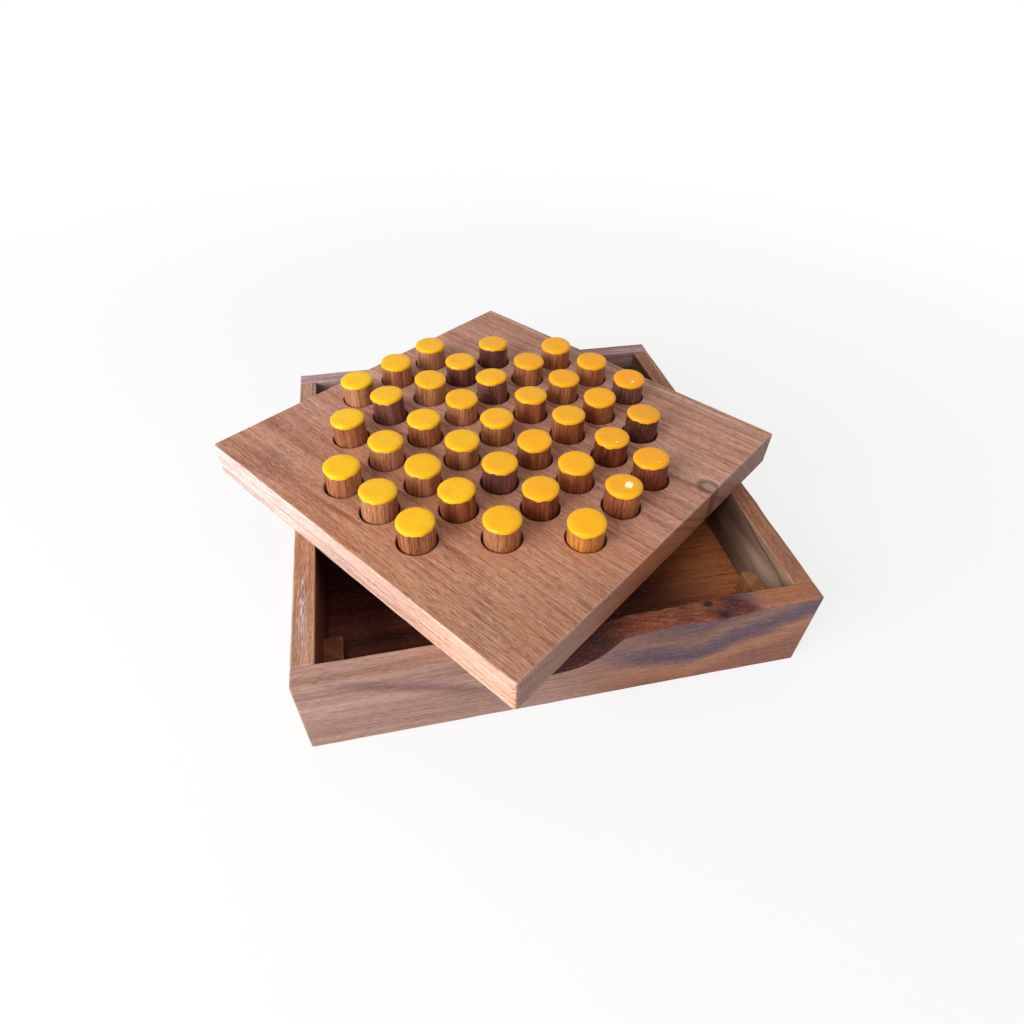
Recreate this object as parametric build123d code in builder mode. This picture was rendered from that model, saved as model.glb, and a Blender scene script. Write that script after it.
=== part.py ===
"""Peg solitaire board: a drilled square board with 37 dowel pegs, lying turned on its open box.

Millimetres, +Z up. The origin is on the table, under the middle of the drilled board.
+X runs along the box's front wall and +Y from the front wall to the back wall.
"""
import os
from math import atan2, cos, hypot, radians, sin

from build123d import *

os.makedirs("parts", exist_ok=True)

# Hole pattern: seven rows of 3, 5, 7, 7, 7, 5 and 3 holes on one square grid
hole_pitch = 20.0
reach = 3
longest_walk = 4
grid_shift = (0.8, 2.2)
grid_turn = -0.5

# Drilled board, with its edges lightly eased
board_margin = 18.1
board_thickness = 13.8
hole_depth = 9.0
board_corner_round = 1.4
board_edge_round = 0.5
hole_rim_ease = 0.3
board_turn = 36.0

# Dowel pegs: loose in their holes, with the top end dipped in lacquer
peg_diameter = 12.7
peg_length = 18.4
peg_play = 0.8
peg_foot_ease = 0.4
lacquer_depth = 1.6
lacquer_thickness = 0.2
lacquer_rim_round = 0.8

# Open box: four butt-jointed walls round a floor panel
mouth_clearance = 1.6
wall_thickness = 7.3
box_height = 35.6
tray_depth = 25.0
floor_thickness = 7.0
box_shift = (6.5, -1.7)
box_edge_round = 0.6

# Blocks in the box's corners, on which the board rests when it is dropped in as the lid
block_thickness = 6.6
right_block_thickness = 5.2
block_width = 20.0
lid_sink = 1.0

# Natural edge of the front wall's plank, left unplaned: distance from the wall's middle,
# drop of the outer top edge and drop of the inner top edge
natural_edge = [
    (-34.0, -1.0, -1.0),
    (-29.0, 1.5, -0.6),
    (-22.0, 9.0, 1.0),
    (-14.0, 15.0, 3.2),
    (-5.0, 17.4, 4.4),
    (4.0, 15.6, 4.0),
    (11.0, 10.5, 3.0),
    (17.0, 3.0, 2.0),
    (25.0, 1.9, 1.6),
    (38.0, 1.0, 1.2),
    (51.0, 2.4, 0.4),
    (60.0, 0.8, -0.2),
    (70.0, -1.0, -1.0),
]
cutter_overhang = 3.0

# How far the tops of some pegs stand off their places in the pattern, along its rows and
# columns. Half of it is the hole, drilled off its mark, and half is the peg's lean.
strays = {
    (2, 2): (0.7, 0.8),
    (3, 1): (-1.1, -1.0),
    (0, 3): (-0.4, -0.6),
    (1, 2): (-0.3, 0.4),
    (2, 1): (0.4, -1.0),
    (3, 0): (-0.4, -0.8),
    (-1, 3): (-1.0, 0.1),
    (0, 2): (0.6, -1.4),
    (1, 1): (-0.4, 1.8),
    (2, 0): (0.4, -0.7),
    (3, -1): (-1.2, -1.0),
    (-1, 2): (-0.1, 1.9),
    (0, 1): (-0.3, -0.8),
    (1, 0): (0.9, 0.8),
    (2, -1): (-1.0, -0.4),
    (-2, 2): (-0.3, 1.0),
    (1, -1): (0.7, 1.1),
    (2, -2): (1.7, 0.1),
    (-2, 1): (0.6, -0.7),
    (-1, 0): (0.5, -0.7),
    (0, -1): (-1.2, -0.2),
    (1, -2): (0.7, 0.1),
    (-3, 1): (0.6, -1.0),
    (-2, 0): (0.5, -1.4),
    (-1, -1): (0.5, 0.2),
    (0, -2): (-0.8, 0.5),
    (1, -3): (-0.1, 2.4),
    (-3, 0): (1.1, -0.3),
    (-2, -1): (-0.4, 0.9),
    (-1, -2): (0.0, 0.8),
    (0, -3): (0.7, 0.7),
    (-3, -1): (-0.1, -0.5),
    (-1, -3): (-1.6, -0.5),
}
# Pegs cut a little longer or shorter than the rest
length_errors = {(-1, 2): 0.7, (-1, -3): -1.2}

# Sizes that follow from those above
board_side = 2 * reach * hole_pitch + 2 * board_margin
peg_radius = peg_diameter / 2
hole_radius = peg_radius + peg_play
mouth_side = board_side + 2 * mouth_clearance
box_side = mouth_side + 2 * wall_thickness
floor_top = box_height - tray_depth
block_height = tray_depth - board_thickness - lid_sink
hole_floor = box_height + board_thickness - hole_depth
lean_share = hole_depth / (hole_depth + 2 * (peg_length - hole_depth))
cells = [
    (i, j)
    for j in range(reach, -reach - 1, -1)
    for i in range(-reach, reach + 1)
    if abs(i) + abs(j) <= longest_walk
]


def box_level(height):
    """Plane across the box at a height above the table, with its origin on the box's middle."""
    return Plane(origin=(box_shift[0], box_shift[1], height))


def board_level(height):
    """Plane across the board at a height above the table, turned with the board."""
    x_dir = (cos(radians(board_turn)), sin(radians(board_turn)), 0)
    return Plane(origin=(0, 0, height), x_dir=x_dir, z_dir=(0, 0, 1))


def hole_grid(height):
    """Plane of the hole pattern, which was drilled a little off the board's middle and square."""
    turn = board_turn + grid_turn
    x_dir = (cos(radians(turn)), sin(radians(turn)), 0)
    middle = board_level(height).from_local_coords(grid_shift)
    return Plane(origin=middle, x_dir=x_dir, z_dir=(0, 0, 1))


def hole_spot(cell):
    """Where a cell's hole was drilled, along the pattern's rows and columns."""
    stray = strays.get(cell, (0.0, 0.0))
    return (cell[0] * hole_pitch + stray[0] / 2, cell[1] * hole_pitch + stray[1] / 2)


def cell_name(cell):
    """Row letter a to g from the back and hole number from the left, as in b3."""
    return "abcdefg"[reach - cell[1]] + str(cell[0] + reach + 1)


def save(piece, name):
    piece.part.label = name
    export_step(piece.part, f"parts/{name}.step")


# Drilled board
hole_points = [hole_spot(cell) for cell in cells]
board_top = box_height + board_thickness
with BuildPart() as board:
    with BuildSketch(board_level(box_height)):
        Rectangle(board_side, board_side)
    extrude(amount=board_thickness)
    fillet(board.edges().filter_by(Axis.Z), board_corner_round)
    fillet(board.faces().sort_by(Axis.Z)[-1].edges(), board_edge_round)
    fillet(board.faces().sort_by(Axis.Z)[0].edges(), board_edge_round)
    with BuildSketch(hole_grid(board_top)):
        with Locations(*hole_points):
            Circle(hole_radius)
    extrude(amount=-hole_depth, mode=Mode.SUBTRACT)
    mouths = board.edges().filter_by(GeomType.CIRCLE).group_by(Axis.Z)[-1]
    chamfer(mouths, hole_rim_ease)
save(board, "solitaire_board")

# Pegs. A peg leans from one side of its hole's mouth to the other side of its floor, and
# stands on the low edge of its foot.
for cell in cells:
    stray = strays.get(cell, (0.0, 0.0))
    across = hypot(stray[0], stray[1]) / 2 * lean_share
    lean = atan2(2 * across, hole_depth)
    bearing = radians(board_turn + grid_turn) + atan2(stray[1], stray[0])
    axis = (sin(lean) * cos(bearing), sin(lean) * sin(bearing), cos(lean))
    mouth = hole_grid(board_top).from_local_coords(hole_spot(cell))
    foot = (
        mouth.X - across * cos(bearing),
        mouth.Y - across * sin(bearing),
        hole_floor + (peg_radius - peg_foot_ease) * sin(lean),
    )
    seat = Plane(origin=foot, z_dir=axis)
    along = Axis(foot, axis)
    length = peg_length + length_errors.get(cell, 0.0)
    bare_length = length - lacquer_depth
    with BuildPart() as peg:
        with BuildSketch(seat):
            Circle(peg_radius)
        extrude(amount=bare_length)
        with BuildSketch(seat.offset(bare_length)):
            Circle(peg_radius + lacquer_thickness)
        extrude(amount=lacquer_depth)
        rims = peg.edges().filter_by(GeomType.CIRCLE).sort_by(along)
        fillet(rims[-1], lacquer_rim_round)
        chamfer(rims[0], peg_foot_ease)
    save(peg, "peg_" + cell_name(cell))

# Box walls. The front and back walls run the full width over the side walls' ends.
wall_middle = (box_side - wall_thickness) / 2
with BuildPart() as back_wall:
    with BuildSketch(box_level(0)):
        with Locations((0, wall_middle)):
            Rectangle(box_side, wall_thickness)
    extrude(amount=box_height)
    outer = back_wall.faces().sort_by(Axis.Y)[-1]
    fillet(outer.edges(), box_edge_round)
save(back_wall, "back_wall")

with BuildPart() as front_wall:
    with BuildSketch(box_level(0)):
        with Locations((0, -wall_middle)):
            Rectangle(box_side, wall_thickness)
    extrude(amount=box_height)
    outer = front_wall.faces().sort_by(Axis.Y)[0]
    fillet(outer.edges(), box_edge_round)
    front = -box_side / 2
    for station, outer_drop, inner_drop in natural_edge:
        slope = (outer_drop - inner_drop) / wall_thickness
        lip = box_height - outer_drop - slope * cutter_overhang
        back = box_height - inner_drop + slope * cutter_overhang
        section = Plane(
            origin=(box_shift[0] + station, box_shift[1], 0), x_dir=(0, 1, 0), z_dir=(1, 0, 0)
        )
        with BuildSketch(section):
            Polygon(
                (front - cutter_overhang, lip),
                (front + wall_thickness + cutter_overhang, back),
                (front + wall_thickness + cutter_overhang, box_height + 4 * cutter_overhang),
                (front - cutter_overhang, box_height + 4 * cutter_overhang),
                align=None,
            )
    loft(mode=Mode.SUBTRACT)
save(front_wall, "front_wall")

for side, sign in (("left", -1), ("right", 1)):
    with BuildPart() as side_wall:
        with BuildSketch(box_level(0)):
            with Locations((sign * wall_middle, 0)):
                Rectangle(wall_thickness, mouth_side)
        extrude(amount=box_height)
        outer = side_wall.faces().sort_by(Axis.X)[0 if sign < 0 else -1]
        long_edges = outer.edges().filter_by(Axis.Y)
        fillet(long_edges, box_edge_round)
    save(side_wall, side + "_wall")

# Floor panel, glued between the walls and clear of the table
with BuildPart() as floor_panel:
    with BuildSketch(box_level(floor_top)):
        Rectangle(mouth_side, mouth_side)
    extrude(amount=-floor_thickness)
save(floor_panel, "floor_panel")

# Corner blocks, standing on the floor against the side walls
block_y = (mouth_side - block_width) / 2
for end, along_y in (("front", -1), ("back", 1)):
    for side, sign in (("left", -1), ("right", 1)):
        thickness = block_thickness if side == "left" else right_block_thickness
        block_x = sign * (mouth_side - thickness) / 2
        with BuildPart() as block:
            with BuildSketch(box_level(floor_top)):
                with Locations((block_x, along_y * block_y)):
                    Rectangle(thickness, block_width)
            extrude(amount=block_height)
        save(block, f"{end}_{side}_corner_block")
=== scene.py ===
"""A hand-made peg solitaire board in mixed timber: open box, drilled board and 37 lacquered pegs.

Metres, on the axes of the frame: +X along the box's front wall, +Y to its back wall, +Z up.
"""

import bpy
import numpy as np
from mathutils import Matrix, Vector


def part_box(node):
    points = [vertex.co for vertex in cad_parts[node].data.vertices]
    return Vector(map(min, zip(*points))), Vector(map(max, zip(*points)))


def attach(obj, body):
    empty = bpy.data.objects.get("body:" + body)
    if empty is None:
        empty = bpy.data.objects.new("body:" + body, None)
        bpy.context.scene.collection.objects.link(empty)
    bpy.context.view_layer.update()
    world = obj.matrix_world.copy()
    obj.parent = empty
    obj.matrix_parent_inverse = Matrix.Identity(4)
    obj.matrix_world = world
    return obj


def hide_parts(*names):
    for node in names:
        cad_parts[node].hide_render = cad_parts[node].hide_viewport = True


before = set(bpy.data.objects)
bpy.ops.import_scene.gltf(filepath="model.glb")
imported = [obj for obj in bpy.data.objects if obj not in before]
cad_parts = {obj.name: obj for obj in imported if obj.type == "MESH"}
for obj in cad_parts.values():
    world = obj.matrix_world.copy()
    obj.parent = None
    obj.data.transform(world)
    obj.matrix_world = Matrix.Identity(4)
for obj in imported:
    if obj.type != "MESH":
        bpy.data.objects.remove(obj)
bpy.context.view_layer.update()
MM = 0.001

# Floor panel. One dark red-brown panel, grain from left to right, glued in between the four walls a few
# millimetres clear of the table. It is planed but not sanded, and in the closed box's shade it has kept
# its colour. Beside the right wall it is drawn lighter and more orange: painted light, where light falls
# in through the opening beside the board.


class Wire:
    """A value on its way between a finish's nodes. Arithmetic on it adds the Math nodes."""

    def __init__(self, finish, socket):
        self.finish = finish
        self.socket = socket

    def work(self, operation, *terms):
        return self.finish.node("ShaderNodeMath", {"operation": operation}, dict(enumerate(terms)))

    def __add__(self, other):
        return self.work("ADD", self, other)

    def __radd__(self, other):
        return self.work("ADD", other, self)

    def __sub__(self, other):
        return self.work("SUBTRACT", self, other)

    def __rsub__(self, other):
        return self.work("SUBTRACT", other, self)

    def __mul__(self, other):
        return self.work("MULTIPLY", self, other)

    def __rmul__(self, other):
        return self.work("MULTIPLY", other, self)

    def __truediv__(self, other):
        return self.work("DIVIDE", self, other)

    def __rtruediv__(self, other):
        return self.work("DIVIDE", other, self)

    def __pow__(self, other):
        return self.work("POWER", self, other)

    def rise(self, low, high):
        """0 where this value is at low or short of it, 1 from high on, with a soft rise between."""
        settings = {"interpolation_type": "SMOOTHSTEP"}
        return self.finish.node("ShaderNodeMapRange", settings, {0: self, 1: low, 2: high})

    def hump(self, middle, reach):
        """1 where this value is at the middle, falling softly to 0 a reach away on both sides."""
        return 1 - self.work("ABSOLUTE", self - middle).rise(0, reach)


def tint(code):
    """A colour written as six hex digits, the way a screen shows it, as the light it stands for."""
    shown = np.array([int(code[place:place + 2], 16) for place in (0, 2, 4)]) / 255
    light = np.where(shown <= 0.04045, shown / 12.92, ((shown + 0.055) / 1.055) ** 2.4)
    return (*light.tolist(), 1.0)


class Finish:
    """One surface finish: a material whose nodes are added one call at a time."""

    def __init__(self, name):
        self.material = bpy.data.materials.new(name)
        self.material.use_nodes = True
        self.tree = self.material.node_tree
        self.tree.nodes.clear()

    def node(self, kind, settings=None, inputs=None, output=0):
        """Adds a node. Its settings come first, then the value or wire of each input."""
        made = self.tree.nodes.new(kind)
        for name, value in (settings or {}).items():
            if name == "stops":
                self.set_stops(made.color_ramp, value)
            else:
                setattr(made, name, value)
        for name, value in (inputs or {}).items():
            if isinstance(value, Wire):
                self.tree.links.new(value.socket, made.inputs[name])
            else:
                made.inputs[name].default_value = value
        return Wire(self, made.outputs[output])

    def set_stops(self, ramp, stops):
        while len(ramp.elements) < len(stops):
            ramp.elements.new(1.0)
        for element, (place, code) in zip(ramp.elements, stops):
            element.position = place
            element.color = tint(code)

    def place_on_object(self, shift=(0, 0, 0), turn=(0, 0, 0)):
        """The place on the object, first turned about the origin and then shifted."""
        where = self.node("ShaderNodeTexCoord", output=3)
        inputs = {"Vector": where, "Location": shift, "Rotation": tuple(np.radians(turn))}
        return self.node("ShaderNodeMapping", {"vector_type": "POINT"}, inputs)

    def attribute(self, name, output=2):
        return self.node("ShaderNodeAttribute", {"attribute_name": name}, output=output)

    def parts(self, place):
        """The three numbers of a vector."""
        split = self.node("ShaderNodeSeparateXYZ", inputs={0: place}).socket.node
        return [Wire(self, output) for output in split.outputs]

    def vector(self, x, y, z):
        return self.node("ShaderNodeCombineXYZ", inputs={0: x, 1: y, 2: z})

    def stretched(self, place, x, y, z):
        return self.node("ShaderNodeVectorMath", {"operation": "MULTIPLY"}, {0: place, 1: (x, y, z)})

    def moved(self, place, step):
        return self.node("ShaderNodeVectorMath", {"operation": "ADD"}, {0: place, 1: step})

    def noise(self, place, detail=2.0, roughness=0.5, distortion=0.0, output=0):
        """Soft noise about a wave long in the units of the place."""
        inputs = {"Vector": place, "Scale": 1.0, "Detail": detail, "Roughness": roughness,
                  "Distortion": distortion}
        return self.node("ShaderNodeTexNoise", {"noise_dimensions": "3D"}, inputs, output)

    def ramp(self, value, stops):
        return self.node("ShaderNodeValToRGB", {"stops": stops}, {0: value})

    def mix(self, below, above, share, blend="MIX"):
        """Lays one colour over another by a share from 0 to 1."""
        settings = {"data_type": "RGBA", "blend_type": blend}
        below, above = (tint(c) if isinstance(c, str) else c for c in (below, above))
        return self.node("ShaderNodeMix", settings, {0: share, 6: below, 7: above}, output=2)

    def close(self, colour, roughness, height, depth, **sockets):
        """Ends the finish: height from 0 to 1 stands for a relief of the depth given, in metres."""
        bump = self.node("ShaderNodeBump", inputs={"Height": height, "Distance": depth, "Strength": 1.0})
        inputs = {"Base Color": colour, "Roughness": roughness, "Normal": bump, "Specular IOR Level": 0.35}
        inputs.update({name.replace("_", " "): value for name, value in sockets.items()})
        shader = self.node("ShaderNodeBsdfPrincipled", inputs=inputs)
        surface = self.tree.nodes.new("ShaderNodeOutputMaterial")
        self.tree.links.new(shader.socket, surface.inputs["Surface"])
        return self.material


class Timber:
    """Solid wood, worked out from the place in the log it was sawn from.

    x runs along the grain and the heart is where the middle of the tree lay across it. The
    rings are the distance from the heart, shaken a little; the tone of each ring is noise read
    at that distance, drawn out along the grain, and lines are the same read more finely.
    Fibres, open pores and pale flecks are noise drawn out further, so that they are dashes
    along the grain and dots across it.
    """

    def __init__(self, finish, place, heart, tones, ring=0.004, shake=0.003, seed=0.0):
        self.finish = finish
        wander = finish.noise(finish.stretched(place, 7, 28, 28), 2.0, output=1)
        centred = finish.moved(wander, (-0.5, -0.5, -0.5))
        shaken = finish.node(
            "ShaderNodeVectorMath", {"operation": "MULTIPLY_ADD"},
            {0: centred, 1: (0, shake * 2, shake * 2), 2: place},
        )
        along, across, deep = finish.parts(shaken)
        side = across - heart[0]
        drop = deep - heart[1]
        self.rings = (side * side + drop * drop) ** 0.5
        read = finish.vector(along * 3.0 + seed, self.rings / (ring * 2), seed)
        self.band = finish.noise(read, 5.0, 0.62)
        fine_read = finish.vector(along * 9.0, self.rings / 0.0010, seed + 4.0)
        self.lines = finish.noise(fine_read, 3.0, 0.6)
        self.fibre = finish.noise(finish.stretched(place, 45, 1700, 1700), 2.0, 0.65)
        dashes = finish.stretched(place, 340, 2800, 2800)
        self.pores = finish.noise(finish.moved(dashes, (seed, 0, 5)), 1.0).rise(0.54, 0.68)
        dashes = finish.stretched(place, 420, 2800, 2800)
        self.flecks = finish.noise(finish.moved(dashes, (seed, 9, 0)), 1.0).rise(0.54, 0.70)
        self.patches = finish.noise(finish.stretched(place, 9, 38, 38), 2.0, 0.55)
        self.colour = finish.ramp(self.band, tones)

    def weather(self, fleck_tone, pore_tone, flecks=0.25, pores=0.4, fibres=0.45, lines=0.45):
        """Draws the lines, fibres, flecks and pores over the rings' colour."""
        finish = self.finish
        light = finish.ramp(self.lines, ((0.34, "b08468"), (0.52, "ffffff")))
        colour = finish.mix(self.colour, light, lines, "MULTIPLY")
        light = finish.ramp(self.fibre, ((0.34, "a08a7e"), (0.54, "ffffff")))
        colour = finish.mix(colour, light, fibres, "MULTIPLY")
        colour = finish.mix(colour, fleck_tone, self.flecks * flecks)
        self.colour = finish.mix(colour, pore_tone, self.pores * pores)
        return self.colour

    def relief(self):
        """Height of the surface: fibres stand a little, pores are open."""
        return self.fibre * 0.25 + (1 - self.pores) * 0.75


def eased_loop(half_width, half_height, ease, inset=0.3 * MM, spread=9):
    """Points round a rectangle with rounded corners, anticlockwise from the right-hand side.

    Side k faces k quarter turns from +x. Its points are spread evenly between two that lie a
    small inset from its corners, which keeps the side flat; a quarter circle with the ease as
    its radius follows. Sizes may be columns, one row for each station.
    """
    turn = np.linspace(0, np.pi / 2, 5)
    even = np.linspace(-1, 1, spread)
    loop = []
    for k in range(4):
        out = np.array([(1, 0), (0, 1), (-1, 0), (0, -1)][k])
        on = np.array([(0, 1), (-1, 0), (0, -1), (1, 0)][k])
        reach, span = (half_width, half_height) if k % 2 == 0 else (half_height, half_width)
        side_reach = reach + 0 * even
        side_run = (span - ease - inset) * even
        arc_reach = reach - ease + ease * np.cos(turn)
        arc_run = span - ease + ease * np.sin(turn)
        for reach_points, run_points in ((side_reach, side_run), (arc_reach, arc_run)):
            loop.append(reach_points[..., None] * out + run_points[..., None] * on)
    return np.concatenate(loop, -2)


def ripple(where, seed, waves=9):
    """A gentle unevenness between about -1 and 1: a few sines of random strength and phase."""
    draw = np.random.default_rng(seed)
    strength = draw.normal(0, 1, waves) / np.sqrt(waves)
    phase = draw.uniform(0, 2 * np.pi, waves)
    steps = np.arange(1, waves + 1)
    return (strength * np.sin(np.asarray(where)[..., None] * steps + phase)).sum(-1)


def end_steps(low, high, ease, spacing):
    """Stations along a bar and how far each loop is drawn in, for ends that are eased round.

    An end is a flat ring, then a quarter circle with the ease as its radius.
    """
    turn = np.linspace(0, np.pi / 2, 5)
    drawn = np.concatenate([[ease + 0.3 * MM], ease * (1 - np.sin(turn))])
    place = np.concatenate([[0], ease * (1 - np.cos(turn))])
    middle = np.arange(low + ease + spacing, high - ease - spacing / 2, spacing)
    stations = np.concatenate([low + place, middle, (high - place)[::-1]])
    return stations, np.concatenate([drawn, 0 * middle, drawn[::-1]])


def skin(loops):
    """Faces of a closed skin over a stack of loops: bands between them and a flat end at each."""
    count, size = loops.shape[:2]
    corner = np.arange(count - 1)[:, None] * size + np.arange(size)
    following = np.roll(corner, -1, axis=1)
    bands = np.stack([corner, following, following + size, corner + size], -1).reshape(-1, 4)
    first = np.arange(size)[::-1]
    return bands.tolist() + [first.tolist(), ((count - 1) * size + first[::-1]).tolist()]


def piece_of(name, points, faces, **attributes):
    """Makes a mesh object at the origin with faces outwards, smooth but for its sharp edges."""
    points = np.asarray(points, float).reshape(-1, 3)
    size = np.array([len(face) for face in faces])
    flat = np.concatenate([np.asarray(face) for face in faces])
    start = np.concatenate([[0], np.cumsum(size)[:-1]])
    following = np.roll(flat, -1)
    following[start + size - 1] = flat[start]
    anchor = points[np.repeat(flat[start], size)]
    triple = np.cross(points[flat], points[following])
    if (anchor * triple).sum() < 0:
        faces = [list(face)[::-1] for face in faces]
    mesh = bpy.data.meshes.new(name)
    mesh.from_pydata(points.tolist(), [], faces)
    mesh.polygons.foreach_set("use_smooth", np.ones(len(faces), bool))
    mesh.set_sharp_from_angle(angle=np.radians(32))
    for label, values in attributes.items():
        values = np.asarray(values, float)
        kind, slot = ("FLOAT", "value") if values.ndim == 1 else ("FLOAT_VECTOR", "vector")
        mesh.attributes.new(label, kind, "POINT").data.foreach_set(slot, values.ravel())
    piece = bpy.data.objects.new(name, mesh)
    bpy.context.scene.collection.objects.link(piece)
    return piece


def bar(name, node, lengthwise, ease, seed, material, spacing=3 * MM):
    """A planed bar in a CAD node's place: an eased rectangle carried along the node's length.

    The ease swells and shrinks along the bar as hand sanding leaves it. The attribute worn is 1
    on the eased edges.
    """
    low, high = (np.array(corner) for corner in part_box(node))
    wide, tall = [axis for axis in range(3) if axis != lengthwise]
    middle, half = (low + high) / 2, (high - low) / 2
    stations, drawn = end_steps(low[lengthwise], high[lengthwise], ease, spacing)
    sanded = ease * (1 + 0.35 * ripple(stations / 0.02, seed))[:, None]
    drawn = drawn[:, None]
    radius = np.maximum(sanded - 0.7 * drawn, 0.3 * ease)
    loops = eased_loop(half[wide] - drawn, half[tall] - drawn, radius)
    points = np.empty(loops.shape[:2] + (3,))
    points[..., lengthwise] = stations[:, None]
    points[..., wide] = middle[wide] + loops[..., 0]
    points[..., tall] = middle[tall] + loops[..., 1]
    edge = np.tile(np.concatenate([np.zeros(9), np.ones(5)]), 4)
    worn = np.maximum(edge[None, :], (drawn > 0) * (drawn <= ease))
    piece = piece_of(name, points, skin(points), worn=worn.ravel())
    piece.data.materials.append(material)
    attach(piece, "box")
    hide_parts(node)
    return piece


def timber_finish(name, place_of, heart, tones, fleck, pore, painted_light=None, **settings):
    """A finish of one plain timber, worn a little paler along the eased edges.

    Painted light is a colour laid over the wood beside the box's right wall, standing for the light that
    falls in there.
    """
    finish = Finish(name)
    wood = Timber(finish, place_of(finish), heart, tones, **settings)
    if painted_light:
        across = finish.parts(finish.place_on_object())[0]
        # Painted light: the wood is drawn lighter and more orange towards the right wall, where light
        # falls in.
        wood.colour = finish.mix(wood.colour, painted_light, across.rise(0.045, 0.085) * 0.85)
    colour = wood.weather(fleck, pore)
    colour = finish.mix(colour, fleck, finish.attribute("worn") * 0.2)
    roughness = 0.5 + wood.pores * 0.2 + (wood.fibre - 0.5) * 0.15
    return finish.close(colour, roughness, wood.relief(), 0.06 * MM)


floor_finish = timber_finish(
    "floor_timber",
    lambda finish: finish.place_on_object(),
    heart=(0.03, -0.05),
    tones=((0.30, "54241c"), (0.45, "683026"), (0.58, "7c3e2e"), (0.72, "905038")),
    fleck="c08a60",
    pore="4a2214",
    # painted light beside the right wall, where light reaches the floor past the board
    painted_light="f4985c",
    ring=0.004,
    seed=3.1,
)
floor_panel = bar("floor_panel_timber", "floor_panel", 0, 0.2 * MM, 11, floor_finish)

# Side walls and back wall. Planed strips about 7 mm thick, sawn from different planks, so that
# each has its own tone. The side walls fit between the front and back walls and are glued.


def side_place(finish):
    return finish.place_on_object(turn=(0, 0, -90))


def left_wall_timber():
    """Tan and orange-brown, rubbed pale along its top towards the front, with painted shade darkening its
    inner face.
    """
    finish = Finish("left_wall_timber")
    wood = Timber(
        finish, side_place(finish), heart=(-0.12, -0.02), seed=7.7, ring=0.0022,
        tones=((0.30, "9c6c52"), (0.45, "b4866a"), (0.58, "c89c82"), (0.72, "d8b69e")),
    )
    wood.colour = finish.mix(wood.colour, "b47440", wood.patches.rise(0.44, 0.60) * 0.6)
    colour = wood.weather("e6cdbc", "7a4a36")
    x, y, z = finish.parts(finish.place_on_object())
    # Painted shade: the inner face, which the light from the left doesn't reach, is drawn dark red-brown.
    inner = x.rise(-0.0738, -0.0733) * (1 - z.rise(0.0344, 0.0352))
    colour = finish.mix(colour, "5e2c1a", inner * 0.8)
    rubbed = x.hump(-0.0773, 0.0022) * y.hump(-0.057, 0.022) * z.rise(0.0349, 0.0355)
    broken = finish.noise(finish.stretched(finish.place_on_object(), 2600, 260, 400), 3.0)
    colour = finish.mix(colour, "d8d0de", rubbed * broken.rise(0.44, 0.62) * 0.85)
    colour = finish.mix(colour, "e6cdbc", finish.attribute("worn") * 0.2)
    roughness = 0.5 + wood.pores * 0.2 + rubbed * 0.1
    return finish.close(colour, roughness, wood.relief(), 0.06 * MM)


def right_wall_timber():
    """Orange-brown, with weathered grey-brown sapwood and one long crack on its inner face, which is drawn
    darker from near its front end backwards: painted shade of the board above.
    """
    finish = Finish("right_wall_timber")
    wood = Timber(
        finish, side_place(finish), heart=(0.10, 0.06), seed=2.3, ring=0.003,
        tones=((0.30, "74402c"), (0.45, "925a40"), (0.58, "aa7454"), (0.72, "bf9276")),
    )
    colour = wood.weather("cfa688", "4e281c")
    x, y, z = finish.parts(finish.place_on_object())
    inner = (1 - x.rise(0.0863, 0.0868)) * (1 - z.rise(0.0344, 0.0352))
    grey = finish.ramp(wood.band, ((0.30, "74584a"), (0.46, "967a68"), (0.60, "ae927e"), (0.72, "c0a694")))
    grey = finish.mix(grey, "70442a", wood.patches.rise(0.44, 0.60) * 0.8)
    # Painted shade: the inner face darkens from near its front end backwards, where the board above shades
    # it.
    grey = finish.mix(grey, "5c3a28", y.rise(-0.064, -0.04) * 0.65)
    grain = finish.ramp(wood.lines, ((0.34, "a4927e"), (0.56, "ffffff")))
    grey = finish.mix(grey, grain, 0.7, "MULTIPLY")
    colour = finish.mix(colour, grey, inner)
    sway = (finish.noise(finish.vector(y * 40, 0.0, 4.0), 2.0) - 0.5) * 0.006
    line = 0.0295 + (y + 0.085) * 0.12 + sway
    crack = (z - line).hump(0.0, 0.0006) * inner * (1 - y.rise(-0.03, 0.0))
    colour = finish.mix(colour, "2a1a10", crack * 0.85)
    colour = finish.mix(colour, "cfa688", finish.attribute("worn") * 0.2)
    roughness = 0.5 + wood.pores * 0.2 + inner * 0.15
    return finish.close(colour, roughness, wood.relief() * (1 - crack), 0.10 * MM)


left_wall = bar("left_wall_timber", "left_wall", 1, 0.5 * MM, 21, left_wall_timber())
right_wall = bar("right_wall_timber", "right_wall", 1, 0.5 * MM, 22, right_wall_timber())
back_finish = timber_finish(
    "back_wall_timber",
    lambda finish: finish.place_on_object(),
    heart=(0.20, -0.06),
    tones=((0.30, "8e6866"), (0.45, "aa8280"), (0.58, "be9a9c"), (0.72, "d0b2b4")),
    fleck="dcc3b8",
    pore="66443a",
    ring=0.003,
    seed=5.9,
)
back_wall = bar("back_wall_timber", "back_wall", 0, 0.5 * MM, 23, back_finish)

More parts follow.
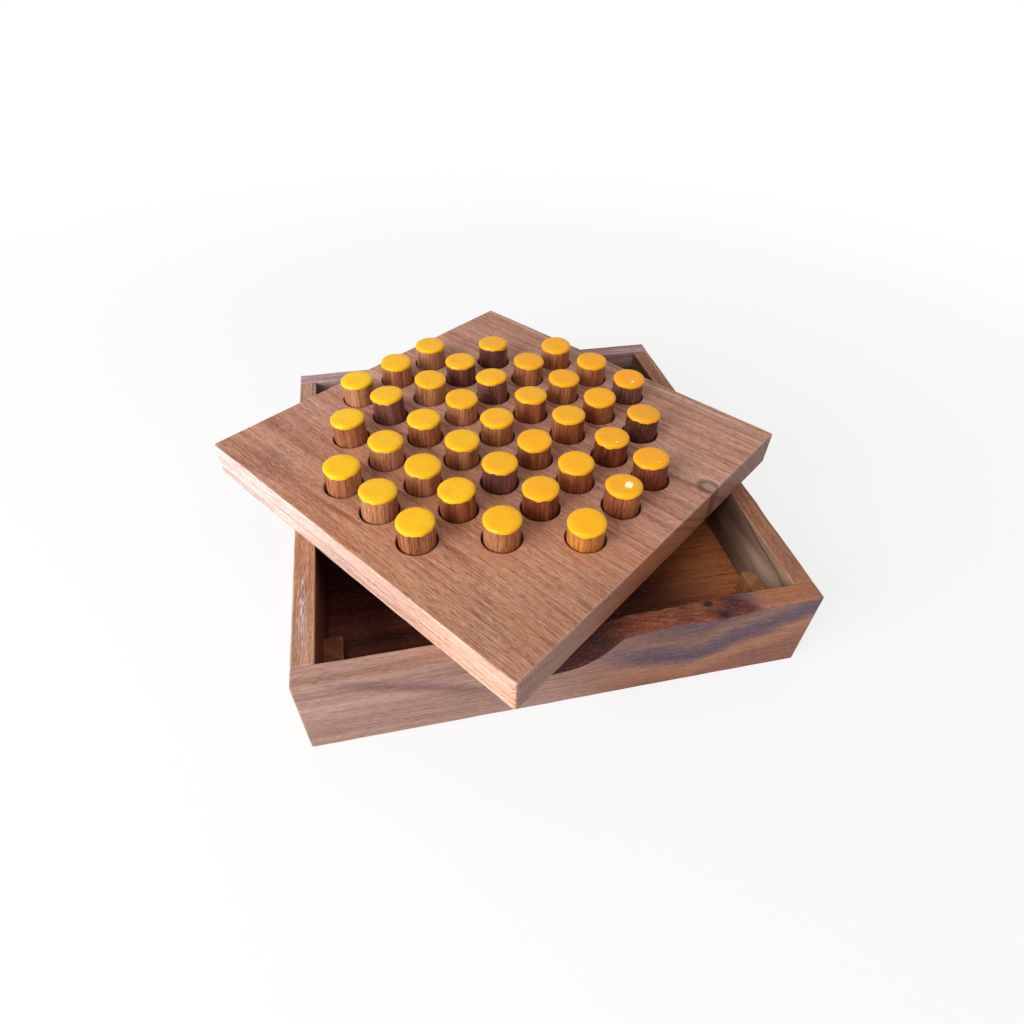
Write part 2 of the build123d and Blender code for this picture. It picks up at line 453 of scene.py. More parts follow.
# Front wall. The same section as the others, but sawn from the outside of the log, so that
# part of its top is the tree's own skin: a scoop in the middle and a knotty slope to the right.
# It covers the side walls' ends. Each row of the natural edge is a distance from the wall's
# middle, the drop of the outer top edge there and the drop of the inner one.
front_low, front_high = (np.array(corner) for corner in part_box("front_wall"))
front_middle = (front_low + front_high) / 2
front_half = (front_high - front_low) / 2
natural_edge = np.array([
    (-34.0, -1.0, -1.0),
    (-29.0, 1.5, -0.6),
    (-22.0, 9.0, 1.0),
    (-14.0, 15.0, 3.2),
    (-5.0, 17.4, 4.4),
    (4.0, 15.6, 4.0),
    (11.0, 10.5, 3.0),
    (17.0, 3.0, 2.0),
    (25.0, 1.9, 1.6),
    (38.0, 1.0, 1.2),
    (51.0, 2.4, 0.4),
    (60.0, 0.8, -0.2),
    (70.0, -1.0, -1.0),
]) * MM


def natural_top(station, share):
    """How far the wall's top lies below its planed height, and how much of it is the tree's skin.

    The drops of the outer and inner edge are read from the natural edge's points and softened
    over 4 mm. Across the wall the drop runs from one to the other, steeper near the outer
    edge, and small ridges along the grain and a few knots are added where it is skin.
    """
    fine = np.arange(-0.1, 0.1, 0.25 * MM)
    soft = np.hanning(33) / np.hanning(33).sum()
    outer = np.convolve(np.interp(fine, natural_edge[:, 0], natural_edge[:, 1]), soft, "same")
    inner = np.convolve(np.interp(fine, natural_edge[:, 0], natural_edge[:, 2]), soft, "same")
    outer = np.interp(station, fine, outer)[:, None]
    inner = np.interp(station, fine, inner)[:, None]
    drop = inner + (outer - inner) * (1 - share) ** 1.3
    bare = np.clip(drop / (0.8 * MM) + 0.4, 0, 1)
    ridge = ripple(station[:, None] / 0.009 + 2.2 * share, 41, 14) + 0.6 * ripple(
        share * 7 + station[:, None] / 0.02, 42, 7)
    lump = 0.12 * MM * ridge
    thick = 2 * front_half[1] / MM
    knots = ((47.5, 0.80, 2.2, 0.7), (51.9, 0.21, 2.6, 0.9), (31.0, 0.85, 2.0, 0.5))
    for place, across, size, depth in knots:
        away = ((station[:, None] - place * MM) / (size * MM)) ** 2
        away = away + ((share - across) * thick / size) ** 2
        lump = lump + depth * MM * (np.exp(-away) - 0.45 * np.exp(-away / 4))
    return np.maximum(drop + bare * lump, 0), bare


stations, drawn = end_steps(-front_half[0], front_half[0], 0.6 * MM, 0.6 * MM)
drawn = drawn[:, None]
front_ease = (0.5 + 0.15 * ripple(stations / 0.02, 31)[:, None]) * MM
front_radius = np.maximum(front_ease - 0.7 * drawn, 0.2 * MM)
front_loops = eased_loop(front_half[1] - drawn, front_half[2] - drawn, front_radius, spread=15)
share_across = (front_loops[..., 0] + front_half[1]) / (2 * front_half[1])
height = front_loops[..., 1] + front_half[2]
drop, skin_share = natural_top(stations, share_across)
front_points = np.stack(np.broadcast_arrays(
    front_middle[0] + stations[:, None],
    front_middle[1] + front_loops[..., 0],
    height * (1 - drop / (2 * front_half[2])),
), -1)
top_share = np.clip((height - 2 * front_half[2] + 1.2 * MM) / (0.8 * MM), 0, 1)
front_wall = piece_of(
    "front_wall_timber", front_points, skin(front_loops),
    bare=(skin_share * top_share).ravel(),
)


def front_wall_timber():
    """Pinkish tan, with violet and orange heartwood streaks that dip in a V below the knots.

    The streaks follow the height over the dip of the grain. Where the top is the tree's skin it is
    red-brown and darker round the two knots; in the scoop it is drawn near black, painted shade of the
    board above it.
    """
    finish = Finish("front_wall_timber")
    place = finish.place_on_object(shift=tuple(-front_middle))
    x, y, z = finish.parts(place)
    wood = Timber(
        finish, place, heart=(0.05, -0.16), seed=1.4, ring=0.0035, shake=0.005,
        tones=((0.30, "94705e"), (0.45, "a68072"), (0.58, "b28c7e"), (0.72, "bc988c")),
    )
    wave = (finish.noise(finish.vector(x * 30, z * 90, 3.0), 3.0) - 0.5) * 0.010
    past_knots = x - 0.045
    dip = past_knots * 0.105 + past_knots.work("ABSOLUTE", past_knots) * 0.345
    streaks = finish.ramp((z + wave - dip + 0.020) / 0.040, (
        (0.02, "8c5440"), (0.12, "a4694c"), (0.22, "a87254"), (0.29, "7c5250"), (0.37, "48344a"),
        (0.50, "604858"), (0.60, "86604f"), (0.68, "765048"), (0.80, "503a50"), (0.94, "70463c"),
    ))
    right = x.rise(-0.010, 0.030) * 0.9
    colour = finish.mix(wood.colour, streaks, right)
    fall = z - 0.0137 + (x + 0.0695) * 0.374 + wave
    cloud = fall.hump(0.0, 0.0055) * (1 - x.rise(-0.040, -0.022)) * x.rise(-0.082, -0.066)
    colour = finish.mix(colour, "805a58", cloud * 0.85)
    on_top = z.rise(0.0171, 0.0177)
    arris = on_top * (1 - (y + wave * 0.15).rise(-0.0012, 0.0006)) * (1 - x.rise(-0.05, -0.03))
    colour = finish.mix(colour, "8a6858", arris * 0.7)
    colour = finish.mix(colour, "b8764c", on_top * x.rise(0.060, 0.068) * 0.75)
    colour = finish.mix(colour, "c09484", on_top * (1 - x.rise(-0.04, -0.02)) * 0.4)
    wood.colour = colour
    colour = wood.weather("e2c6b4", "5f3f37", flecks=0.12, pores=0.3, fibres=0.3, lines=0.35)
    bare = finish.attribute("bare").rise(0.25, 0.75)
    burl = finish.noise(finish.stretched(place, 110, 420, 420), 3.0, 0.5, 0.3)
    skin_tone = finish.ramp(burl, (
        (0.30, "6c3826"), (0.46, "7e4430"), (0.58, "8a4e34"), (0.72, "96583c"),
    ))
    # Painted shade: the scoop lies in the board's shadow, so its colours are drawn dark maroon to near
    # black.
    shaded_scoop = finish.ramp(burl, ((0.34, "32100c"), (0.50, "421610"), (0.66, "541e14")))
    maroon = x.hump(0.056, 0.013) * burl.rise(0.24, 0.5)
    skin_tone = finish.mix(skin_tone, "3c161c", maroon * 0.85)
    skin_tone = finish.mix(skin_tone, shaded_scoop, 1 - (x + wave).rise(0.010, 0.026))
    wrinkle = finish.noise(finish.stretched(place, 700, 1900, 1900), 3.0, 0.65)
    shade = finish.ramp(wrinkle, ((0.34, "a08c84"), (0.56, "ffffff")))
    skin_tone = finish.mix(skin_tone, shade, 0.7, "MULTIPLY")
    skin_tone = finish.mix(skin_tone, "c48a66", wrinkle.rise(0.56, 0.72) * 0.2)
    for knot_x, knot_y in ((0.0475, 0.0022), (0.0519, -0.0021)):
        off_x, off_y = (x - knot_x) / 0.0022, (y - knot_y) / 0.0016
        knot = 1 - ((off_x * off_x + off_y * off_y) ** 0.5).rise(0.5, 1.0)
        skin_tone = finish.mix(skin_tone, "1d1420", knot * 0.85)
    colour = finish.mix(colour, skin_tone, bare)
    roughness = 0.5 + wood.pores * 0.2 + bare * 0.25
    height = wood.relief() * (1 - bare) + (burl * 0.3 + wrinkle * 0.5) * bare
    return finish.close(colour, roughness, height, 0.10 * MM)


front_wall.data.materials.append(front_wall_timber())
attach(front_wall, "box")
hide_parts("front_wall")

# Corner blocks. Offcuts of whatever was on the bench, stood on the floor in the corners and
# glued to the side walls. The board rests on them when it is dropped in as the lid.
block_tones = {
    "front_left": ((0.30, "5c2616"), (0.45, "7c3c22"), (0.58, "98512e"), (0.72, "ac6840")),
    "front_right": ((0.30, "8a5c34"), (0.45, "a87444"), (0.58, "c08c58"), (0.72, "d0a476")),
    "back_left": ((0.30, "5e3524"), (0.45, "7d4a32"), (0.58, "9a6244"), (0.72, "b27c5c")),
    "back_right": ((0.30, "6b4a34"), (0.45, "8a6448"), (0.58, "a57e5e"), (0.72, "bb9878")),
}
for number, (corner, tones) in enumerate(block_tones.items()):
    block_finish = timber_finish(
        f"{corner}_block_timber",
        lambda finish: finish.place_on_object(turn=(0, 90, 0)),
        heart=(0.04 + 0.01 * number, -0.02),
        tones=tones,
        fleck="c49a70",
        pore="4a281a",
        ring=0.0015,
        seed=8.0 + number,
    )
    node = f"{corner}_corner_block"
    block = bar(f"{node}_timber", node, 1, 0.3 * MM, 50 + number, block_finish, spacing=2 * MM)

# Drilled board. One square of open-grained hardwood with 37 blind holes, and the box's lid.
# It is sanded flat, its edges and the rims of its holes are barely eased, and it was laid on
# the box a little over a third of a right angle round. The pattern is cut as one square cell
# for each place in it, whose rings have the same number of spokes.
board_low, board_high = (np.array(corner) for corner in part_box("solitaire_board"))
board_thick = board_high[2] - board_low[2]
board_side = 156.2 * MM
board_corner = 1.4 * MM
board_turn = 36.0
hole_pitch = 20 * MM
hole_radius = 7.15 * MM
hole_depth = 9 * MM
grid_shift = np.array([0.8, 2.2]) * MM
grid_turn = -0.5
spokes = 64
reach = 3
cells = [
    (i, j) for j in range(reach, -reach - 1, -1) for i in range(-reach, reach + 1)
    if abs(i) + abs(j) <= 4
]
# How far the tops of some pegs stand off their places, along the pattern's rows and columns,
# in millimetres. Half of it is the hole, drilled off its mark.
strays = {
    (2, 2): (0.7, 0.8),
    (3, 1): (-1.1, -1.0),
    (0, 3): (-0.4, -0.6),
    (1, 2): (-0.3, 0.4),
    (2, 1): (0.4, -1.0),
    (3, 0): (-0.4, -0.8),
    (-1, 3): (-1.0, 0.1),
    (0, 2): (0.6, -1.4),
    (1, 1): (-0.4, 1.8),
    (2, 0): (0.4, -0.7),
    (3, -1): (-1.2, -1.0),
    (-1, 2): (-0.1, 1.9),
    (0, 1): (-0.3, -0.8),
    (1, 0): (0.9, 0.8),
    (2, -1): (-1.0, -0.4),
    (-2, 2): (-0.3, 1.0),
    (1, -1): (0.7, 1.1),
    (2, -2): (1.7, 0.1),
    (-2, 1): (0.6, -0.7),
    (-1, 0): (0.5, -0.7),
    (0, -1): (-1.2, -0.2),
    (1, -2): (0.7, 0.1),
    (-3, 1): (0.6, -1.0),
    (-2, 0): (0.5, -1.4),
    (-1, -1): (0.5, 0.2),
    (0, -2): (-0.8, 0.5),
    (1, -3): (-0.1, 2.4),
    (-3, 0): (1.1, -0.3),
    (-2, -1): (-0.4, 0.9),
    (-1, -2): (0.0, 0.8),
    (0, -3): (0.7, 0.7),
    (-3, -1): (-0.1, -0.5),
    (-1, -3): (-1.6, -0.5),
}


def turned(points, degrees):
    """The points, whose last axis starts with x and y, turned anticlockwise about the origin."""
    cos, sin = np.cos(np.radians(degrees)), np.sin(np.radians(degrees))
    turned_points = np.array(points, float)
    turned_points[..., 0] = points[..., 0] * cos - points[..., 1] * sin
    turned_points[..., 1] = points[..., 0] * sin + points[..., 1] * cos
    return turned_points


def cell_rings(cell, drilled, seed):
    """One square cell of the hole pattern as rings round its middle, from the middle outwards.

    A drilled cell goes from the hole's floor up its wall, over a rim eased by a quarter
    circle that swells and shrinks round the hole, and out to the square. The square's point
    at an angle is the direction divided by its larger part.
    """
    angle = np.arange(spokes) * 2 * np.pi / spokes
    ray = np.stack([np.cos(angle), np.sin(angle)], -1)
    square = ray / np.abs(ray).max(-1, keepdims=True) * hole_pitch / 2
    ease = (0.32 + 0.10 * ripple(angle, seed, 6)) * MM
    turn = np.radians([0, 30, 60, 90])[:, None]
    if drilled:
        radius = np.concatenate([
            np.array([[hole_radius - 0.6 * MM], [hole_radius], [hole_radius]]) + 0 * ease,
            hole_radius + ease * (1 - np.cos(turn)),
            hole_radius + ease[None] + 0.3 * MM,
        ])
        level = np.concatenate([
            np.array([[-hole_depth], [-hole_depth], [-hole_depth / 2]]) + 0 * ease,
            ease * (np.sin(turn) - 1),
            0 * ease[None],
        ])
        rim = np.array([0, 0, 0, 0.5, 1, 1, 0.6, 0, 0])
    else:
        radius = np.array([[3 * MM], [hole_radius]]) + 0 * ease
        level = 0 * radius
        rim = np.zeros(3)
    off_mark = np.array(strays.get(cell, (0.0, 0.0))) / 2 * MM
    rings = np.concatenate([radius[..., None] * ray + off_mark, square[None]])
    level = np.concatenate([level, 0 * ease[None]])
    rings = rings + np.array(cell) * hole_pitch
    points = np.concatenate([rings, level[..., None]], -1)
    return points, np.repeat(rim, spokes)


def board_outline(inset, corner_steps=6):
    """Points round the board, anticlockwise, drawn in by the inset at each point.

    Each side runs from the middle of one rounded corner to the middle of the next, and has a
    quarter of the spokes for each cell along it.
    """
    half = board_side / 2
    side_points = spokes // 4 * (2 * reach + 1)
    eighth = np.arange(corner_steps) / corner_steps * np.pi / 4
    flat = half - board_corner
    along = np.linspace(-flat, flat, side_points - 2 * corner_steps + 1)
    radius = np.maximum(board_corner - inset.reshape(4, -1), 0.1 * MM)
    loop = []
    for k in range(4):
        first, last = radius[k, :corner_steps], radius[k, 1 - corner_steps:]
        bend = eighth[::-1] + np.pi / 4 / corner_steps
        arc_in = np.stack([flat + first * np.cos(bend), -flat - first * np.sin(bend)], -1)
        run = np.stack([flat + radius[k, corner_steps:1 - corner_steps], along], -1)
        bend = eighth[1:]
        arc_out = np.stack([flat + last * np.cos(bend), flat + last * np.sin(bend)], -1)
        loop.append(turned(np.concatenate([arc_in, run, arc_out]), 90 * k))
    return np.concatenate(loop)


def band_faces(start, rings, size):
    """Quads between rings of points that go outwards, facing up where the rings lie flat."""
    corner = start + np.arange(rings - 1)[:, None] * size + np.arange(size)
    following = start + np.arange(rings - 1)[:, None] * size + (np.arange(size) + 1) % size
    return np.stack([corner, corner + size, following + size, following], -1).reshape(-1, 4).tolist()


points, worn, faces, count = [], [], [], 0
for j in range(-reach, reach + 1):
    for i in range(-reach, reach + 1):
        rings, rim = cell_rings((i, j), (i, j) in cells, 100 + 7 * i + j)
        faces += band_faces(count, len(rings), spokes)
        faces.append(list(range(count, count + spokes)))
        points.append(rings.reshape(-1, 3))
        worn.append(rim)
        count += rings.shape[0] * spokes

quarter = np.radians(-45 + 360 / spokes * np.arange(spokes // 4))
cell_middle = np.arange(-reach, reach + 1)[:, None] * hole_pitch
beside = (cell_middle + np.tan(quarter) * hole_pitch / 2).ravel()
edge_of_grid = np.stack([np.full(beside.shape, (reach + 0.5) * hole_pitch), beside], -1)
grid_loop = np.concatenate([turned(edge_of_grid, 90 * k) for k in range(4)])
pattern = np.concatenate(points)
pattern[:, :2] = turned(pattern[:, :2], grid_turn) + grid_shift
grid_loop = turned(grid_loop, grid_turn) + grid_shift
round_board = np.linspace(0, 2 * np.pi, len(grid_loop), endpoint=False)
top_ease = (0.5 + 0.14 * ripple(round_board * 5, 71, 12)) * MM
foot_ease = (0.5 + 0.14 * ripple(round_board * 5, 72, 12)) * MM
margin, level, rim = [grid_loop], [0 * top_ease], [0]
shoulder = board_outline(top_ease + 0.3 * MM)
for share in (0.35, 0.7, 1.0):
    margin.append(grid_loop + (shoulder - grid_loop) * share)
    level.append(0 * top_ease)
    rim.append(0)
for bend in np.radians([0, 22.5, 45, 67.5, 90]):
    margin.append(board_outline(top_ease * (1 - np.sin(bend))))
    level.append(top_ease * (np.cos(bend) - 1))
    rim.append(1)
flank = board_outline(0 * top_ease)
for share in (0.02, 0.25, 0.5, 0.75, 0.98):
    margin.append(flank)
    level.append(-top_ease - (board_thick - top_ease - foot_ease) * share)
    rim.append(0)
for bend in np.radians([90, 67.5, 45, 22.5, 0]):
    margin.append(board_outline(foot_ease * (1 - np.sin(bend))))
    level.append(-board_thick + foot_ease * (1 - np.cos(bend)))
    rim.append(1)
for inset in (0.3 * MM, 20 * MM):
    margin.append(board_outline(foot_ease + inset))
    level.append(0 * foot_ease - board_thick)
    rim.append(0)
loops = np.concatenate([np.stack(margin), np.stack(level)[..., None]], -1)
faces += band_faces(count, len(loops), len(grid_loop))
last_loop = count + (len(loops) - 1) * len(grid_loop)
faces.append(list(range(last_loop, last_loop + len(grid_loop)))[::-1])
every_point = np.concatenate([pattern, loops.reshape(-1, 3)])
every_worn = np.concatenate(worn + [np.repeat(rim, len(grid_loop))])
index, shared = np.unique(
    np.round(every_point, 7), axis=0, return_index=True, return_inverse=True,
)[1:]
faces = [shared.ravel()[face].tolist() for face in faces]
board_points = turned(every_point[index], board_turn)
board_points[:, 2] += board_high[2]
board = piece_of("solitaire_board_timber", board_points, faces, worn=every_worn[index])


def board_timber():
    """Tan hardwood with straight fine grain and one small knot.

    b is the way along the grain and a the way across it, from the board's middle. The grain is
    streaked with orange brown towards one edge and even towards the other, and it parts round
    the knot. The edge along the grain is pale and the end grain at both ends is a warm brown.
    """
    finish = Finish("board_timber")
    place = finish.place_on_object(turn=(0, 0, -board_turn - 90))
    b, minus_a, z = finish.parts(place)
    a = 0 - minus_a
    knot_a, knot_b = 0.0308, -0.0753
    off_a, off_b = (a - knot_a) / 0.0026, (b - knot_b) / 0.0034
    away = (off_a * off_a + off_b * off_b) ** 0.5
    push = off_a / (away * away + 1.2) * 0.0022
    parted = finish.vector(b, minus_a - push, z)
    wood = Timber(
        finish, parted, heart=(0.09, -0.11), seed=0.6, ring=0.0026, shake=0.0025,
        tones=((0.30, "b47860"), (0.42, "c88e76"), (0.52, "d69e86"), (0.62, "e0ac96"), (0.74, "eabeaa")),
    )
    streaky = 1 - (a + b * 0.25 + (wood.patches - 0.5) * 0.05).rise(-0.055, 0.0)
    wood.colour = finish.mix(wood.colour, "d4966a", streaky * 0.5)
    wood.colour = finish.mix(wood.colour, "b0683a", streaky * wood.lines.rise(0.47, 0.60) * 0.5)
    wood.colour = finish.mix(wood.colour, "b8866e", a.rise(0.045, 0.075) * 0.3)
    wood.colour = finish.mix(wood.colour, "ac7a5c", (1 - (a + b).rise(-0.125, -0.085)) * 0.5)
    wood.colour = finish.mix(wood.colour, "d09884", (b - a).rise(0.085, 0.125) * 0.5)
    wood.colour = finish.mix(wood.colour, "a07468", wood.patches.rise(0.60, 0.74) * 0.35)
    long_edge = finish.mix("f4c4ac", "ecd8d4", b.rise(-0.06, 0.07))
    wood.colour = finish.mix(wood.colour, long_edge, (1 - a.rise(-0.0780, -0.0775)) * 0.8)
    end_grain = finish.mix("9c7266", "b4683e", a.hump(0.0, 0.060))
    wood.colour = finish.mix(wood.colour, end_grain, b.work("ABSOLUTE", b).rise(0.0775, 0.0780) * 0.85)
    colour = wood.weather("f0dccf", "74493a", flecks=0.2, pores=0.5, fibres=0.6, lines=0.6)
    ring = away.hump(1.0, 0.75)
    colour = finish.mix(colour, "54382f", ring * 0.7)
    colour = finish.mix(colour, "94786a", (1 - away.rise(0.2, 0.8)) * 0.7)
    colour = finish.mix(colour, "dcc0b0", finish.attribute("worn") * 0.2)
    roughness = 0.48 + wood.pores * 0.2 + (wood.fibre - 0.5) * 0.15
    return finish.close(colour, roughness, wood.relief(), 0.07 * MM)


board.data.materials.append(board_timber())
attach(board, "board")
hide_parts("solitaire_board")

# Pegs. Short lengths of half-inch dowel sawn from many sticks, so their woods run from orange
# to nearly black, each with its top end dipped in yellow lacquer. They are loose in their holes,
# so some lean. The lacquer ran a little, so its lower edge is wavy and here and there sags.
peg_radius = 6.35 * MM
lacquer_depth = 1.55 * MM
lacquer_coat = 0.2 * MM
crown = 0.9 * MM
facets = 48
# Which stick stands where is partly the woods' own spread and partly painted light and shade: pale tan
# pegs at the back and left, where the light falls, chestnut ones at the front and right, in shade.
sticks = {
    "tan": (
        "a3 a5 b4 c1 c2 c4 d1",
        ((0.30, "a4623c"), (0.44, "be8058"), (0.58, "d09670"), (0.72, "deaa86")),
    ),
    "chestnut": (
        "d5 e2 e4 e5 e6 f4 g4",
        ((0.30, "7a3a1e"), (0.44, "9c5430"), (0.58, "b46c40"), (0.72, "c8845a")),
    ),
    "rosewood": (
        "b3 b5 b6 c5 e3 e7",
        ((0.30, "502826"), (0.44, "764640"), (0.58, "925e52"), (0.72, "ac786a")),
    ),
    "redwood": (
        "f3 f5 g5",
        ((0.30, "582412"), (0.44, "7c3a1e"), (0.58, "985030"), (0.72, "b26c44")),
    ),
    "ebony": ("f6", ((0.30, "2a1210"), (0.44, "48201a"), (0.58, "663428"), (0.72, "845044"))),
    "amber": ("g3", ((0.30, "b46a28"), (0.44, "d08838"), (0.58, "e29e4c"), (0.72, "f0b666"))),
    "brown": ("", ((0.30, "905030"), (0.44, "ac6a42"), (0.58, "c08256"), (0.72, "d29a74"))),
}


def stand(node):
    """A peg's foot, axis and length, from the skin of its CAD solid.

    The axis is the way that the skin faces least: the direction with the smallest sum of area
    times the square of the normal's part along it. The skin's middle lies on the axis.
    """
    skin_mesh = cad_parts[node].data
    area = np.empty(len(skin_mesh.polygons))
    facing, middle = np.empty(len(area) * 3), np.empty(len(area) * 3)
    spots = np.empty(len(skin_mesh.vertices) * 3)
    skin_mesh.polygons.foreach_get("area", area)
    skin_mesh.polygons.foreach_get("normal", facing)
    skin_mesh.polygons.foreach_get("center", middle)
    skin_mesh.vertices.foreach_get("co", spots)
    facing, middle = facing.reshape(-1, 3), middle.reshape(-1, 3)
    strength, ways = np.linalg.eigh((facing * area[:, None]).T @ facing)
    axis = ways[:, 0] * np.sign(ways[2, 0])
    centre = (middle * area[:, None]).sum(0) / area.sum()
    along = (spots.reshape(-1, 3) - centre) @ axis
    return centre + along.min() * axis, axis, along.max() - along.min()


def lathe(foot, axis, radius, height):
    """Rings round a leaning axis, and their points' places in the stick.

    A point is the foot, plus the height along the axis, plus the radius along the ray at its
    angle. Radius and height may differ round each ring.
    """
    angle = np.arange(facets) * 2 * np.pi / facets
    side = np.cross((0, 1, 0), axis)
    side /= np.linalg.norm(side)
    other = np.cross(axis, side)
    ray = np.cos(angle)[:, None] * side + np.sin(angle)[:, None] * other
    radius = radius + 0 * angle
    height = height + 0 * angle
    return foot + radius[..., None] * ray + height[..., None] * axis, np.stack(
        [height, radius * np.cos(angle), radius * np.sin(angle)], -1)


def dowel_timber(stick, tones):
    """Oiled dowel of one wood; stock is the place in the stick."""
    finish = Finish(f"{stick}_dowel")
    wood = Timber(
        finish, finish.attribute("stock", output=1), heart=(0.05, 0.02), ring=0.0018, shake=0.002,
        tones=tones,
    )
    colour = wood.weather("e0c0a4", "3a1c12", flecks=0.1, pores=0.4, fibres=0.7, lines=0.5)
    roughness = 0.45 + wood.pores * 0.2
    return finish.close(colour, roughness, wood.relief(), 0.07 * MM)


def lacquer():
    """Glossy yellow lacquer, a little cloudy and specked, with a painted highlight along its lip; its
    yellow runs more orange towards the front right, partly each cap's own tone and partly painted shade.
    """
    finish = Finish("yellow_lacquer")
    stock = finish.attribute("stock", output=1)
    cloudy = finish.noise(finish.stretched(stock, 260, 260, 260), 2.0)
    speck = finish.noise(finish.stretched(stock, 900, 900, 900), 1.0).rise(0.75, 0.80)
    # The caps' yellow turns more orange by each cap's own tone and by painted shade towards the front
    # right.
    yellow = finish.mix("ffc810", "ffaa08", finish.attribute("warmth"))
    colour = finish.mix(yellow, "ff9e0a", cloudy.rise(0.45, 0.7) * 0.3)
    colour = finish.mix(colour, "8a5410", speck * 0.6)
    # Painted highlight: the lip is drawn paler yellow, as light catching its rounded edge.
    colour = finish.mix(colour, "ffe060", finish.attribute("lip") * 0.7)
    roughness = 0.30 + cloudy * 0.08
    return finish.close(
        colour, roughness, cloudy, 0.12 * MM,
        Specular_IOR_Level=0.2, Coat_Weight=0.3, Coat_Roughness=0.04,
    )


lacquer_finish = lacquer()
dowel_finishes = {}
for stick, (holes, tones) in sticks.items():
    made = dowel_timber(stick, tones)
    dowel_finishes.update(dict.fromkeys(holes.split(), made))
    plain_dowel = made

for number, cell in enumerate(cells):
    hole = "abcdefg"[reach - cell[1]] + str(cell[0] + reach + 1)
    name = f"peg_{hole}"
    foot, axis, length = stand(name)
    draw = np.random.default_rng(500 + number)
    spin = draw.uniform(0, 2 * np.pi)
    stick_place = np.array([draw.uniform(0, 5), draw.uniform(-0.02, 0.02), draw.uniform(-0.02, 0.02)])
    angle = np.arange(facets) * 2 * np.pi / facets + spin
    true = peg_radius - 0.03 * MM + 0.03 * MM * ripple(angle, 600 + number, 4)
    bare_top = length - lacquer_depth
    radius = np.stack(
        [true - 0.7 * MM, true - 0.4 * MM, true - 0.12 * MM] + [true] * 6
        + [true - 0.3 * MM, true - 0.9 * MM])
    height = np.concatenate([
        [0, 0, 0.15 * MM], np.linspace(0.45 * MM, bare_top + 0.3 * MM, 6),
        [length - 1.0 * MM, length - 0.7 * MM],
    ])
    points, stock = lathe(foot, axis, radius, height[:, None])
    dowel = piece_of(f"{name}_dowel", points, skin(points), stock=(stock + stick_place).reshape(-1, 3))
    dowel.data.materials.append(dowel_finishes.get(hole, plain_dowel))
    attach(dowel, name)
    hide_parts(name)

    sags = np.zeros(facets)
    for sag in range(draw.integers(1, 4)):
        away = np.angle(np.exp(1j * (angle - draw.uniform(0, 2 * np.pi))))
        sags += draw.uniform(0.1, 0.35) * MM * np.exp(-(away / draw.uniform(0.25, 0.5)) ** 2)
    lip = bare_top + 0.2 * MM * ripple(angle, 700 + number, 15) - sags
    outer = peg_radius + lacquer_coat * (0.85 + 0.3 * ripple(angle, 800 + number, 5))
    bend = np.radians([0, 10, 20, 30, 40, 50, 60, 68, 76, 83, 87])[:, None]
    radius = np.concatenate([
        np.array([[-0.30], [-0.04]]) * MM + peg_radius + 0 * angle,
        np.array([[-0.06 * MM], [-0.01 * MM]]) + outer,
        outer * np.cos(bend) ** 0.26,
    ])
    height = np.concatenate([
        lip + np.array([[0.45 * MM], [0.0], [0.04 * MM], [0.16 * MM]]),
        length - crown + crown * np.sin(bend) + 0 * angle,
    ])
    points, stock = lathe(foot, axis, radius, height)
    # Painted shade: more orange towards the front right, with a little random tone of each cap's own.
    warmth = np.clip(0.5 + 0.14 * (cell[0] - 0.6 * cell[1]) + draw.normal(0, 0.08), 0, 1)
    # Painted highlight along the lacquer's lip.
    lip_highlight = np.array([0.0, 0.6, 1.0, 0.4] + [0.0] * len(bend))
    cap = piece_of(
        f"{name}_lacquer", points, skin(points),
        stock=(stock + stick_place).reshape(-1, 3), warmth=np.full(len(points) * facets, warmth),
        lip=np.repeat(lip_highlight, facets),
    )
    cap.data.materials.append(lacquer_finish)
    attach(cap, name)
    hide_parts(name)

# Studio: a pale floor under a white surround, a broad soft lamp from the left and a small one
# from the back right that gives the lacquer its sparks.
floor_mesh = bpy.data.meshes.new("studio_floor")
wide = 6.0
corners = [(-wide, -wide, 0), (wide, -wide, 0), (wide, wide, 0), (-wide, wide, 0)]
floor_mesh.from_pydata(corners, [], [(0, 1, 2, 3)])
studio_floor = bpy.data.objects.new("studio_floor", floor_mesh)
bpy.context.scene.collection.objects.link(studio_floor)
floor_paint = Finish("studio_floor")
to_camera = floor_paint.node("ShaderNodeLightPath")
seen = Wire(floor_paint, to_camera.socket.node.outputs["Is Camera Ray"])
matt = floor_paint.node("ShaderNodeBsdfDiffuse", inputs={"Color": (0.86, 0.86, 0.86, 1)})
white = floor_paint.node("ShaderNodeEmission", inputs={"Color": (1, 1, 1, 1), "Strength": 1.0})
x, y, z = floor_paint.parts(floor_paint.place_on_object())
far = ((x * x + y * y) ** 0.5).rise(0.15, 0.6)
both = floor_paint.node("ShaderNodeMixShader", inputs={0: seen * (0.78 + far * 0.22), 1: matt, 2: white})
floor_out = floor_paint.tree.nodes.new("ShaderNodeOutputMaterial")
floor_paint.tree.links.new(both.socket, floor_out.inputs["Surface"])
floor_mesh.materials.append(floor_paint.material)

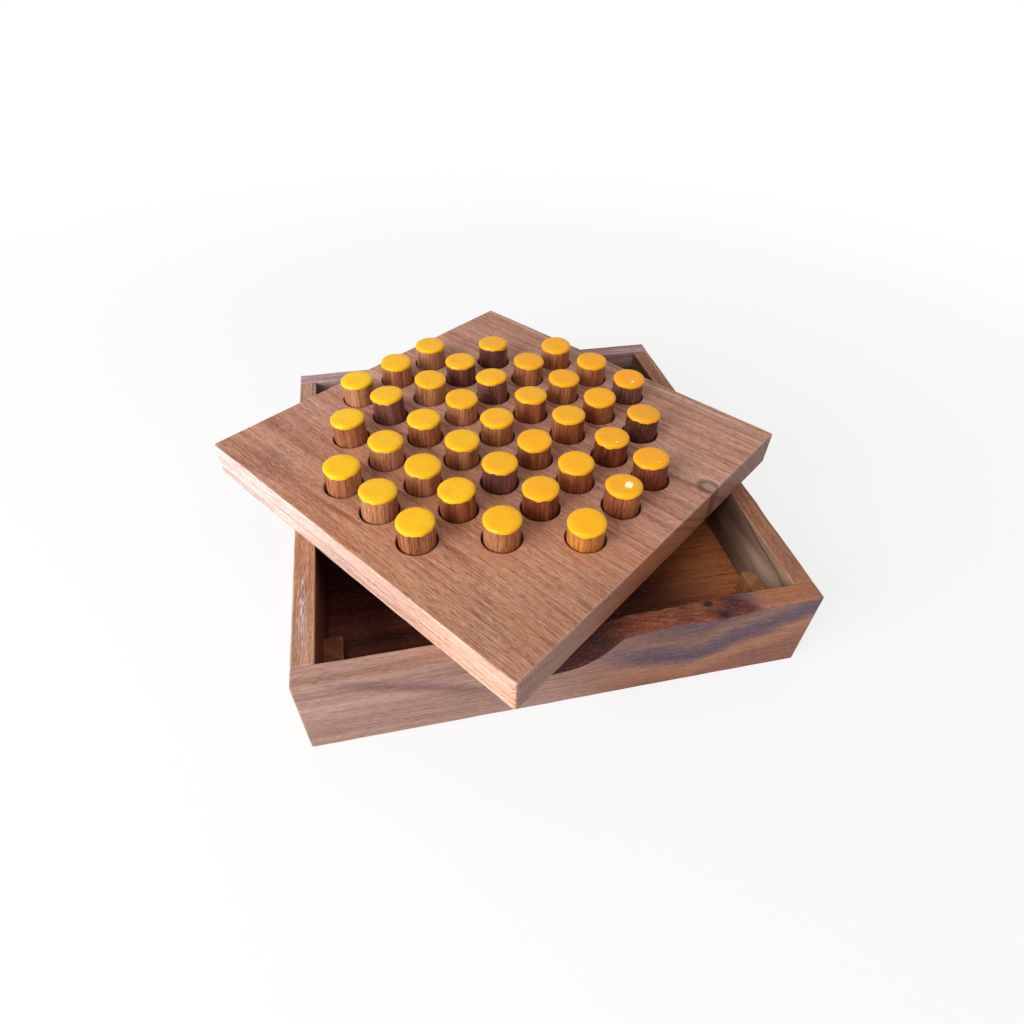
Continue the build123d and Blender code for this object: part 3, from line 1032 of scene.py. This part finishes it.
world = bpy.data.worlds.new("studio_surround")
bpy.context.scene.world = world
world.use_nodes = True
background = world.node_tree.nodes["Background"]
background.inputs["Color"].default_value = (1.0, 0.975, 0.945, 1)
background.inputs["Strength"].default_value = 0.55


def lamp(name, place, size, power, colour=(1, 1, 1)):
    """A square soft lamp that faces the middle of the board."""
    light = bpy.data.lights.new(name, "AREA")
    light.size = size
    light.energy = power
    light.color = colour
    lit = bpy.data.objects.new(name, light)
    back = np.array(place) - np.array((0, 0, 0.04))
    back = back / np.linalg.norm(back)
    right = np.cross((0, 0, 1), back)
    right = right / np.linalg.norm(right)
    axes = np.stack([right, np.cross(back, right), back], 1)
    lit.matrix_world = Matrix.Translation(place) @ Matrix(axes.tolist()).to_4x4()
    bpy.context.scene.collection.objects.link(lit)
    return lit


lamp("broad_lamp", (-0.78, -0.44, 0.43), 0.6, 10.8, (0.97, 0.98, 1.0))
lamp("spark_lamp", (0.30, 0.50, 0.50), 0.012, 0.02)

# Camera, where the photograph was taken from: its place, heading, height and slight tilt, and
# the width of its view.
camera_place = np.array((-41.4, -200.94, 203.3)) * MM
camera_azimuth, camera_elevation, camera_roll = np.radians((-13.197, 43.318, 1.465))
camera_data = bpy.data.cameras.new("camera")
camera_data.sensor_width = 36.0
camera_data.lens = 22.733
camera_data.clip_start = 0.01
camera = bpy.data.objects.new("camera", camera_data)
bpy.context.scene.collection.objects.link(camera)
back = np.array((
    np.sin(camera_azimuth) * np.cos(camera_elevation),
    -np.cos(camera_azimuth) * np.cos(camera_elevation),
    np.sin(camera_elevation),
))
level_right = np.array((np.cos(camera_azimuth), np.sin(camera_azimuth), 0))
level_up = np.cross(back, level_right)
right = np.cos(camera_roll) * level_right + np.sin(camera_roll) * level_up
up = np.cos(camera_roll) * level_up - np.sin(camera_roll) * level_right
axes = Matrix(np.stack([right, up, back], 1).tolist()).to_4x4()
camera.matrix_world = Matrix.Translation(camera_place) @ axes
bpy.context.scene.camera = camera
bpy.context.scene.view_settings.view_transform = "Standard"
